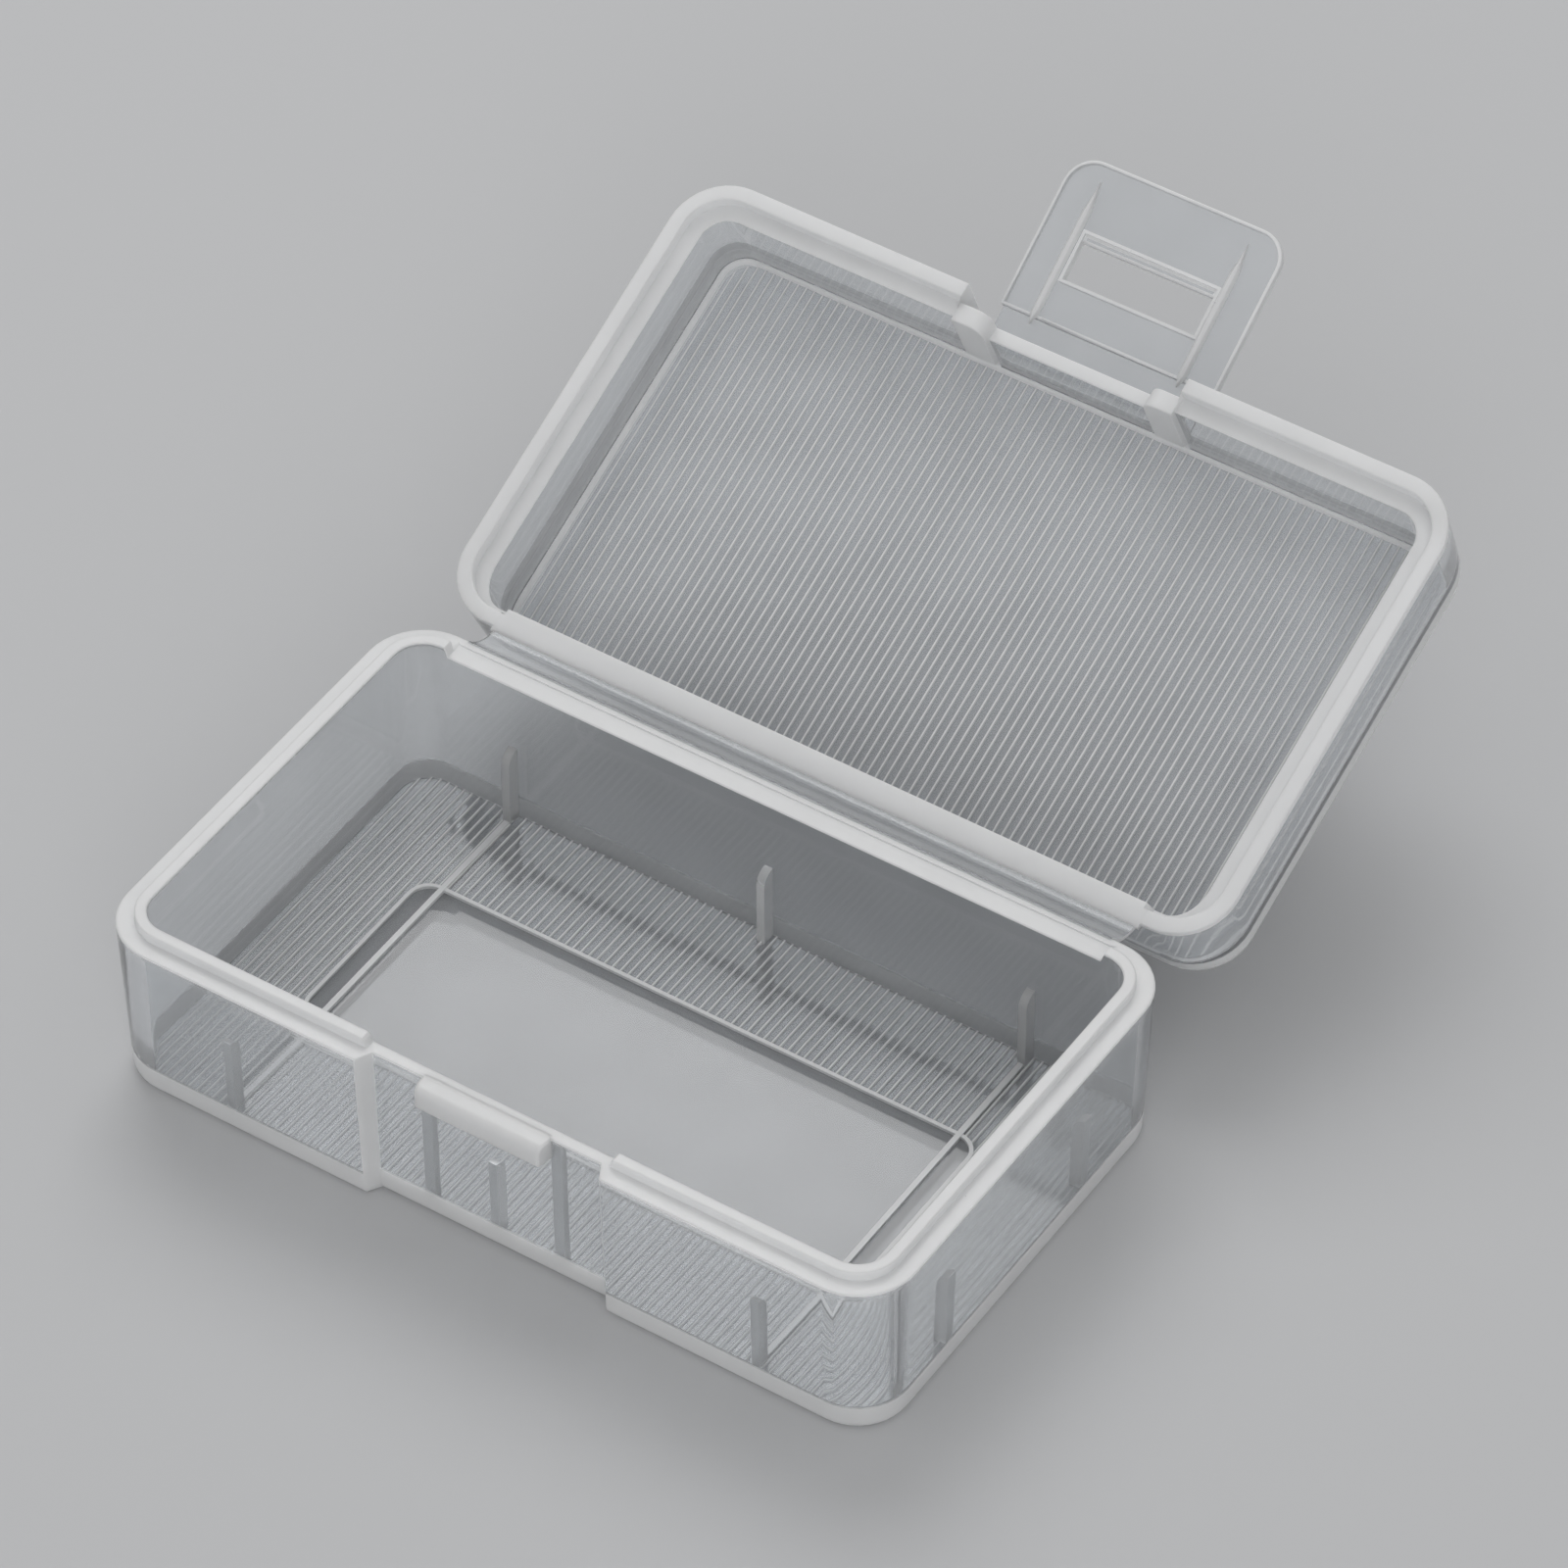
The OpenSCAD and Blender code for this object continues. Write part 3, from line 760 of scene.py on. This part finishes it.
# The radius of a rib's edges, as a share of its thickness.
RIB_EDGE = 0.22


def wall_rib(depth, thickness, base, top):
    """A rib that stands towards -Y from a wall at y = 0, with a round top and milky crest."""
    steps = 6
    turns = [math.radians(90 * step / steps) for step in range(steps + 1)]
    outline = [(-depth * math.sin(a), top - depth + depth * math.cos(a)) for a in turns]
    outline += [(-depth, base), (-AIR, base), (-AIR, top)]
    bm = bmesh.new()
    prism(bm, [(-thickness / 2, y, z) for y, z in outline], (thickness, 0, 0))
    round_edges(bm, thickness * RIB_EDGE, least=math.radians(60))
    for face in bm.faces:
        crest = face.normal.y < -0.5 or face.normal.z > 0.4
        face.material_index = 1 if crest else 0
    return bm


class CASE_OT_tray_ribs(bpy.types.Operator):
    """Shape the ribs that hold the cells off the walls, and the ribs under the bar"""

    bl_idname = "case.tray_ribs"
    bl_label = "Tray ribs"

    def execute(self, context):
        s = context.scene.case_sizes
        inside = RECESS[1].y
        end = FLUTES[1].x
        # For each node: the ribs' turn, whether they stand along Y, their places as shares of
        # the farthest one's, and their thickness as a share of the long walls' ribs'.
        groups = {
            "rear_wall_ribs": (0, False, (-1, 0, 1), 1),
            "front_wall_ribs": (180, False, (-1, 0, 1), 1),
            "end_wall_ribs": (-90, True, (-1, 1), 1.35),
            "bar_support_ribs": (180, False, (-1, 1), 1.25),
        }
        for node, (turn, along_y, places, stoutness) in groups.items():
            low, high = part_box(node)
            size = high - low
            thick = s.rib_t * stoutness
            rib = wall_rib(size.x if along_y else size.y, thick, low.z, high.z)
            group = bmesh.new()
            for place in places:
                far = place * ((high.y if along_y else high.x) - thick / 2)
                at = (end, far, 0) if along_y else (far, inside if turn else -inside, 0)
                matrix = Matrix.Translation(at) @ Matrix.Rotation(math.radians(turn), 4, "Z")
                add_copy(group, rib, matrix)
            rib.free()
            piece(node + "_soft", group, "tray", [node], "milky_edge", rib_plastic(),
                  milky_line_and_highlight_plastic())
        return {"FINISHED"}


class CASE_OT_latch_bar(bpy.types.Operator):
    """Shape the bar that the tab's window snaps over"""

    bl_idname = "case.latch_bar"
    bl_label = "Latch bar"

    def execute(self, context):
        s = context.scene.case_sizes
        low, high = BAR
        top = high.z + AIR / 4
        root = high.y + 2.5 * s.rim_r
        upper_nose_r, lower_nose_r = 0.75 * MM, 0.35 * MM
        end_slant, end_r = 0.3 * MM, 0.5 * MM
        section = rounded([
            (root, low.z, 0), (low.y, low.z, lower_nose_r), (low.y, top, upper_nose_r),
            (root, top, 0)], steps=6)
        bm = bmesh.new()
        prism(bm, [(low.x, y, z) for y, z in section], (high.x - low.x, 0, 0))
        for vert in bm.verts:
            out = max(0.0, high.y - vert.co.y) / (high.y - low.y)
            vert.co.x -= math.copysign(end_slant * out, vert.co.x)
        ends = [e for e in bm.edges if e.calc_face_angle(0) > CORNER_ANGLE
                and min(v.co.y for v in e.verts) < high.y - MERGE]
        bevel(bm, ends, end_r, segments=5)
        piece("latch_bar_soft", bm, "tray", ["latch_bar"], "milky_edge", milky_rim_plastic())
        return {"FINISHED"}


# The round edge inside, between the panel and the walls.
PANEL_FILLET = 0.5 * MM
# Degrees round a cheek's corner, at each of which its section is drawn.
CHEEK_TURNS = (4, 20, 40, 60, 75, 90)
# The stretch over which the hinge band ends, and how far it falls to the skirt there.
BAND_RUN = 0.45 * MM
BAND_DROP = 0.9


class CASE_OT_lid_moulding(bpy.types.Operator):
    """Shape the lid's panel, walls, stepped rim, hinge band and notch in one moulding"""

    bl_idname = "case.lid_moulding"
    bl_label = "Lid moulding"

    def execute(self, context):
        s = context.scene.case_sizes
        r = s.corner_r
        inner = r - s.lid_wall_t
        skirt = r - s.skirt_w
        panel = CAVITY_D + AIR
        tiny = AIR / 2
        half_w = CASE_W / 2 - r
        flange = BAND[1].y - CASE_W / 2
        back = -SET_BACK[0].y - half_w
        block = CHEEK[1].y + CASE_W / 2 - s.lid_wall_t

        # Some points only pair with another section's corners. These are their distances
        # from each other, from the rim, from the inside and from the set-back wall's rim.
        gap = 0.3 * MM
        from_rim, from_inside, from_set_back = 0.4 * MM, 1.3 * MM, 0.5 * MM

        def outside(depth):
            """How far the outside stands out at a depth from the rim."""
            return r - s.lid_draft * depth / LID_D

        panel_edge = [(inner - 3 * PANEL_FILLET, panel, 0), (inner, panel, PANEL_FILLET)]
        cavity = panel_edge + [(inner, s.cheek_to + tiny, 0), (inner, s.cheek_to, 0)]
        outside_edge = [
            (outside(NOTCH_D), NOTCH_D, 0), (outside(LID_D), LID_D, s.lid_edge_r),
            (r - s.lid_draft - 2 * s.lid_edge_r, LID_D, 0)]
        outer_wall = [(outside(NOTCH_D), NOTCH_D - tiny, 0)] + outside_edge
        base = rounded(cavity + [
            (inner, SKIRT_D, s.rim_r / 2), (skirt, SKIRT_D, s.rim_r / 4),
            (skirt, 0, s.rim_r), (r, 0, s.rim_r), (outside(from_rim), from_rim, 0),
            (outside(from_rim + gap), from_rim + gap, 0)] + outer_wall)
        hinge_side = rounded(cavity + [
            (inner, 0, s.rim_r), (inner + from_inside, 0, tiny),
            (inner + from_inside + gap, 0, tiny), (r + flange, 0, s.rim_r / 2),
            (r + flange, gap, 0), (outside(2 * gap), 2 * gap, 0)] + outer_wall)

        def notch_wall(rim, depth_in):
            """A section of the set-back wall or, where it is deep, of a cheek."""
            return rounded(panel_edge + [
                (inner, s.cheek_to + tiny, 0), (inner - depth_in, s.cheek_to, 0),
                (inner - depth_in, rim, s.rim_r), (inner + gap, rim, tiny),
                (inner + 2 * gap, rim, tiny), (back, rim, s.rim_r),
                (back, rim + from_set_back, 0), (back, rim + from_set_back + gap, 0),
                (back, NOTCH_D, 0)] + outside_edge)

        gate_end = SET_BACK[1].x
        notch_end = CHEEK[1].x
        gate_rim = SET_BACK[0].z - RIM_Z
        cheek_rim = CHEEK[0].z - RIM_Z
        front = [(gate_end - tiny, notch_wall(gate_rim, 0))]
        for angle in CHEEK_TURNS:
            turn = math.radians(angle)
            rim = cheek_rim + s.cheek_r * (1 - math.sin(turn))
            x = gate_end + s.cheek_r * (1 - math.cos(turn))
            front.append((x, notch_wall(rim, block)))
        front.append((notch_end - tiny, notch_wall(cheek_rim, block)))
        front.append((notch_end, base))
        end = BAND[1].x
        band_end = mixed(hinge_side, base, 0, BAND_DROP, 0)
        rear = [(end - BAND_RUN, hinge_side), (end - tiny, band_end), (end, base)]
        bm = sweep(base, r, front, rear)
        layer = bm.verts.layers.int["row"]
        inner_rows = {row for row, (out, _) in enumerate(base) if out < inner + s.rim_r / 2}
        for vert in bm.verts:
            if vert.co.y > half_w and vert[layer] in inner_rows:
                towards_rear = min(1.0, (vert.co.y - half_w) / inner)
                vert.co.y += (s.lid_wall_t - s.lid_back_t) * towards_rear
            vert.co.z += RIM_Z
        bmesh.ops.remove_doubles(bm, verts=bm.verts, dist=MERGE)
        close_level(bm, panel + RIM_Z)
        close_level(bm, LID_D + RIM_Z)
        tidy_shell(bm)
        for face in bm.faces:
            centre = face.calc_center_median()
            depth = centre.z - RIM_Z
            near_notch = abs(centre.x) < notch_end + MERGE and centre.y < -half_w
            rim = SKIRT_D + s.rim_r / 2
            if near_notch:
                rim = gate_rim + 2 * s.rim_r if abs(centre.x) < gate_end - tiny else NOTCH_D
            level = abs(face.normal.z) > LEVEL
            # The round outer edge is milky: partly the thick edge's own haze, partly a painted
            # highlight along the lid's outer edge.
            edge = depth > LID_D - s.lid_edge_r and not level
            plate = level and depth > NOTCH_D + s.rim_r
            face.material_index = wall_slot(face, depth < rim or edge, plate)
        nodes = ["lid_shell", "left_lid_skirt", "right_lid_skirt", "lid_hinge_band",
                 "lid_set_back_wall", "left_notch_cheek", "right_notch_cheek"]
        piece("lid_moulding", bm, "lid", nodes, "clear_wall", *wall_slots(lid_wall_plastic),
              place=LID_OUT)
        return {"FINISHED"}


def ribbon(points, wide, thickness):
    """A thin film along a line of (y, z) points, in the middle of its thickness."""
    strips = 16
    bm = bmesh.new()
    verts = [bm.verts.new((-wide / 2, y, z)) for y, z in points]
    row = [bm.edges.new(pair) for pair in zip(verts, verts[1:])]
    for _ in range(strips):
        row = extrude_row(bm, row, (wide / strips, 0, 0))
    face_out(bm)
    bmesh.ops.solidify(bm, geom=bm.faces[:], thickness=thickness)
    middle = Vector((0, 0, 0))
    for vert in bm.verts:
        middle += vert.co / len(bm.verts)
    wanted = Vector((0, sum(p[0] for p in points), sum(p[1] for p in points))) / len(points)
    bmesh.ops.translate(bm, verts=bm.verts, vec=(0, wanted.y - middle.y, wanted.z - middle.z))
    face_out(bm)
    return bm


class CASE_OT_hinge_web(bpy.types.Operator):
    """Shape the web that joins the tray to the lid"""

    bl_idname = "case.hinge_web"
    bl_label = "Hinge web"

    def execute(self, context):
        web_t = context.scene.case_sizes.web_t
        # How far the web hangs below its chord, and how far its ends run into the walls.
        sag, into = 0.45 * MM, 0.25 * MM
        steps = 18
        start = Vector((0, CASE_W / 2, TRAY_H - web_t / 2))
        end = LID_OUT @ Vector((0, BAND[1].y, RIM_Z + web_t / 2))
        chord = end - start
        down = Vector((0, chord.z, -chord.y)).normalized()
        line = []
        for step in range(steps + 1):
            t = step / steps
            line.append(start + chord * t + down * sag * 4 * t * (1 - t))
        first = line[0] + (line[0] - line[1]).normalized() * into
        last = line[-1] + (line[-1] - line[-2]).normalized() * into
        points = [(p.y, p.z) for p in [first] + line + [last]]
        bm = ribbon(points, WEB[1].x - WEB[0].x, web_t)
        for face in bm.faces:
            face.material_index = 1 if abs(face.normal.x) > 0.9 else 0
        obj = piece("hinge_web_soft", bm, None, ["hinge_web"], "clear_wall",
                    thin_film_plastic(), milky_line_and_highlight_plastic())
        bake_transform(obj)
        return {"FINISHED"}


class CASE_OT_latch_film(bpy.types.Operator):
    """Shape the film between the lid and the latch tab"""

    bl_idname = "case.latch_film"
    bl_label = "Latch film"

    def execute(self, context):
        low, high = FILM
        middle = (low.y + high.y) / 2
        # The film runs on a little way into the tab.
        start, end = high.z, low.z - 0.2 * MM
        steps = 14
        shut = [start + (end - start) * step / steps for step in range(steps + 1)]
        line = [LATCH_OUT @ Vector((0, middle, z)) for z in shut]
        bm = ribbon([(p.y, p.z) for p in line], high.x - low.x, high.y - low.y)
        obj = piece("latch_film_soft", bm, None, ["latch_film"], "clear_wall",
                    thin_film_plastic())
        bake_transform(obj)
        return {"FINISHED"}


class CASE_OT_latch_tab(bpy.types.Operator):
    """Shape the latch tab with its window and stand-off ribs"""

    bl_idname = "case.latch_tab"
    bl_label = "Latch tab"

    def execute(self, context):
        s = context.scene.case_sizes
        low, high = TAB
        top = LATCH_HINGE_SHUT.z
        half = s.window_w / 2
        rebate = (top - s.window_to, top - s.window_to - s.rebate_w)
        bm = bmesh.new()
        corners = [(low.x, high.z), (high.x, high.z), (high.x, low.z), (low.x, low.z)]
        verts = [bm.verts.new((x, low.y, z)) for x, z in corners]
        bm.faces.new(verts)
        bevel(bm, verts[2:], s.tab_r, segments=10, affect="VERTICES")
        cuts = [(Vector((x, 0, 0)), Vector((1, 0, 0))) for x in (-half, half)]
        cuts += [(Vector((0, 0, z)), Vector((0, 0, 1)))
                 for z in (top - s.window_from, *rebate)]
        for at, across in cuts:
            bmesh.ops.bisect_plane(
                bm, geom=bm.verts[:] + bm.edges[:] + bm.faces[:], plane_co=at, plane_no=across)

        def within(face, upper, lower):
            """Whether a face lies between two heights of the window."""
            middle = face.calc_center_median()
            return abs(middle.x) < half and lower < middle.z < upper

        window = [f for f in bm.faces if within(f, top - s.window_from, rebate[0])]
        bmesh.ops.delete(bm, geom=window, context="FACES")
        raised = only(BMFace, draw_out(bm, bm.faces[:], (0, high.y - low.y, 0)))
        sunk = [f for f in raised if within(f, *rebate)]
        face_out(bm)
        draw_out(bm, sunk, (0, -s.rebate_d, 0))
        bmesh.ops.delete(bm, geom=sunk, context="FACES_ONLY")
        face_out(bm)
        # The milky border round each flat face and the milky sides are a painted highlight for
        # the bright edges of the tab.
        for height in (low.y, high.y, high.y - s.rebate_d):
            flat = [f for f in bm.faces if all(abs(v.co.y - height) < MERGE for v in f.verts)]
            edge = bmesh.ops.inset_region(
                bm, faces=flat, thickness=s.tab_edge_highlight, use_even_offset=True,
                use_boundary=True)["faces"]
            for face in edge:
                face.material_index = 1
        for face in bm.faces:
            if abs(face.normal.y) < 0.8:
                face.material_index = 1
        outline = []
        for edge in bm.edges:
            at = edge.verts[0].co
            clear_of_window = abs(at.x) > half + MERGE or at.z < rebate[1] - MERGE
            if clear_of_window and edge.calc_face_angle(0) > CORNER_ANGLE:
                outline.append(edge)
        bevel(bm, outline, s.tab_edge_r, segments=3)
        piece("latch_tab_soft", bm, "latch", ["latch_tab"], "clear_wall", thin_film_plastic(),
              milky_line_and_highlight_plastic(), place=LATCH_OUT)
        self.ribs()
        return {"FINISHED"}

    @staticmethod
    def ribs():
        """The two stand-off ribs, pointed at both ends."""
        low, high = TAB_RIBS
        wide, tip, tail = 0.9 * MM, 1.2 * MM, 3 * MM
        outline = [
            (0, low.y, high.z), (wide / 2, low.y, high.z - tip),
            (wide / 2, low.y, low.z + tail), (0, low.y, low.z),
            (-wide / 2, low.y, low.z + tail), (-wide / 2, low.y, high.z - tip),
        ]
        crest_size = (0.45, 1, 0.97)
        edge_r = 0.08 * MM
        rib = bmesh.new()
        crest = prism(rib, outline, (0, high.y - low.y, 0))
        bmesh.ops.scale(rib, verts=crest, vec=crest_size,
                        space=Matrix.Translation((0, 0, -(low.z + high.z) / 2)))
        round_edges(rib, edge_r, segments=2, least=math.radians(30))
        group = bmesh.new()
        for side in (-1, 1):
            add_copy(group, rib, Matrix.Translation((side * (high.x - wide / 2), 0, 0)))
        rib.free()
        # The ribs are milky all over: a painted highlight for the bright lines that light draws
        # along their sides.
        piece("latch_tab_ribs_soft", group, "latch", ["latch_tab_ribs"], "milky_edge",
              milky_line_and_highlight_plastic(), place=LATCH_OUT)


class CASE_OT_fine_lines(bpy.types.Operator):
    """Finish the flutes, the pane's border and the floor ribs"""

    bl_idname = "case.fine_lines"
    bl_label = "Flutes and fine lines"

    def execute(self, context):
        s = context.scene.case_sizes
        finishes = {
            "floor_flutes": fluted_plastic("floor_flute_plastic", s.floor_pitch),
            "lid_flutes": fluted_plastic("lid_flute_plastic", s.lid_pitch),
            "floor_pane_border": milky_line_and_highlight_plastic(),
            "left_floor_rib": milky_line_and_highlight_plastic(),
            "right_floor_rib": milky_line_and_highlight_plastic(),
        }
        for node, material in finishes.items():
            for slot in frame["nodes"][node].material_slots:
                slot.material = material
        return {"FINISHED"}


# The lamps stand off from the case on the hinge side and on the latch side, in metres.
KEY_PLACE = (-0.35, 0.45, 0.75)
FILL_PLACE = (0.5, -0.8, 0.45)
LAMP_SIZE = 0.6
FLOOR_SIZE = 6.0
# The floor lies a little below the case, so that it doesn't coincide with the underside.
FLOOR_LEVEL = -5 * AIR
CAMERA_TARGET = Vector((-4.05, 28.42, 10.0)) * MM
SENSOR_WIDTH = 36


class CASE_OT_stage(bpy.types.Operator):
    """Set the pale floor, the lamps and the camera"""

    bl_idname = "case.stage"
    bl_label = "Stage"

    def execute(self, context):
        stage = context.scene.case_stage
        self.floor(stage)
        self.sky(stage)
        self.lamp("key_lamp", KEY_PLACE, stage.key_power)
        self.lamp("fill_lamp", FILL_PLACE, stage.fill_power)
        self.camera(stage)
        context.scene.view_settings.view_transform = "Standard"
        return {"FINISHED"}

    @staticmethod
    def floor(stage):
        """A pale, slightly glossy floor."""
        bm = bmesh.new()
        bmesh.ops.create_grid(bm, x_segments=1, y_segments=1, size=FLOOR_SIZE)
        mesh = bpy.data.meshes.new("floor")
        bm.to_mesh(mesh)
        bm.free()
        mesh.transform(Matrix.Translation((0, 0, FLOOR_LEVEL)))
        floor = new_object("floor", mesh)
        material = bpy.data.materials.new("pale_floor")
        material.use_nodes = True
        shader = material.node_tree.nodes["Principled BSDF"]
        shader.inputs["Base Color"].default_value = [*stage.floor_colour, 1]
        shader.inputs["Roughness"].default_value = 0.55
        shader.inputs["Specular IOR Level"].default_value = 0.3
        mesh.materials.append(material)

    @staticmethod
    def sky(stage):
        """Even white light from all round."""
        world = bpy.data.worlds.new("studio")
        world.use_nodes = True
        light = world.node_tree.nodes["Background"]
        light.inputs["Color"].default_value = (1, 1, 1, 1)
        light.inputs["Strength"].default_value = stage.sky_strength
        bpy.context.scene.world = world

    @staticmethod
    def lamp(name, place, power):
        """A soft lamp that points at the case."""
        data = bpy.data.lights.new(name, "AREA")
        data.size = LAMP_SIZE
        data.energy = power
        lamp = new_object(name, data)
        lamp.location = place
        lamp.rotation_euler = (-Vector(place)).to_track_quat("-Z", "Y").to_euler()

    @staticmethod
    def camera(stage):
        """The photo's camera."""
        azimuth = math.radians(stage.camera_azimuth)
        elevation = math.radians(stage.camera_elevation)
        back = Vector((
            math.sin(azimuth) * math.cos(elevation),
            -math.cos(azimuth) * math.cos(elevation),
            math.sin(elevation),
        ))
        data = bpy.data.cameras.new("photo_camera")
        data.lens = stage.camera_lens
        data.sensor_width = SENSOR_WIDTH
        camera = new_object("photo_camera", data)
        camera.location = CAMERA_TARGET + back * stage.camera_distance
        look = (-back).to_track_quat("-Z", "Y").to_matrix().to_4x4()
        roll = Matrix.Rotation(math.radians(stage.camera_roll), 4, "Z")
        camera.rotation_euler = (look @ roll).to_euler()
        bpy.context.scene.camera = camera


STEPS = (
    CASE_OT_stage,
    CASE_OT_tray_moulding,
    CASE_OT_tray_ribs,
    CASE_OT_latch_bar,
    CASE_OT_hinge_web,
    CASE_OT_lid_moulding,
    CASE_OT_latch_film,
    CASE_OT_latch_tab,
    CASE_OT_fine_lines,
)


class CASE_PT_panel(bpy.types.Panel):
    """The steps that shape and finish the case"""

    bl_label = "Storage case"
    bl_idname = "CASE_PT_panel"
    bl_space_type = "VIEW_3D"
    bl_region_type = "UI"
    bl_category = "Storage case"

    def draw(self, context):
        for step in STEPS:
            self.layout.operator(step.bl_idname)


GROUPS = {
    "case_sizes": CASE_PG_sizes,
    "case_finish": CASE_PG_finish,
    "case_stage": CASE_PG_stage,
}


CLASSES = (*GROUPS.values(), *STEPS, CASE_PT_panel)


def register():
    for cls in CLASSES:
        bpy.utils.register_class(cls)
    for name, group in GROUPS.items():
        setattr(bpy.types.Scene, name, bpy.props.PointerProperty(type=group))


def unregister():
    for name in GROUPS:
        delattr(bpy.types.Scene, name)
    for cls in reversed(CLASSES):
        bpy.utils.unregister_class(cls)


def main():
    """Registers the add-on and runs every step."""
    register()
    for step in STEPS:
        group, name = step.bl_idname.split(".")
        getattr(getattr(bpy.ops, group), name)()
    bpy.context.view_layer.update()


if __name__ == "__main__":
    main()
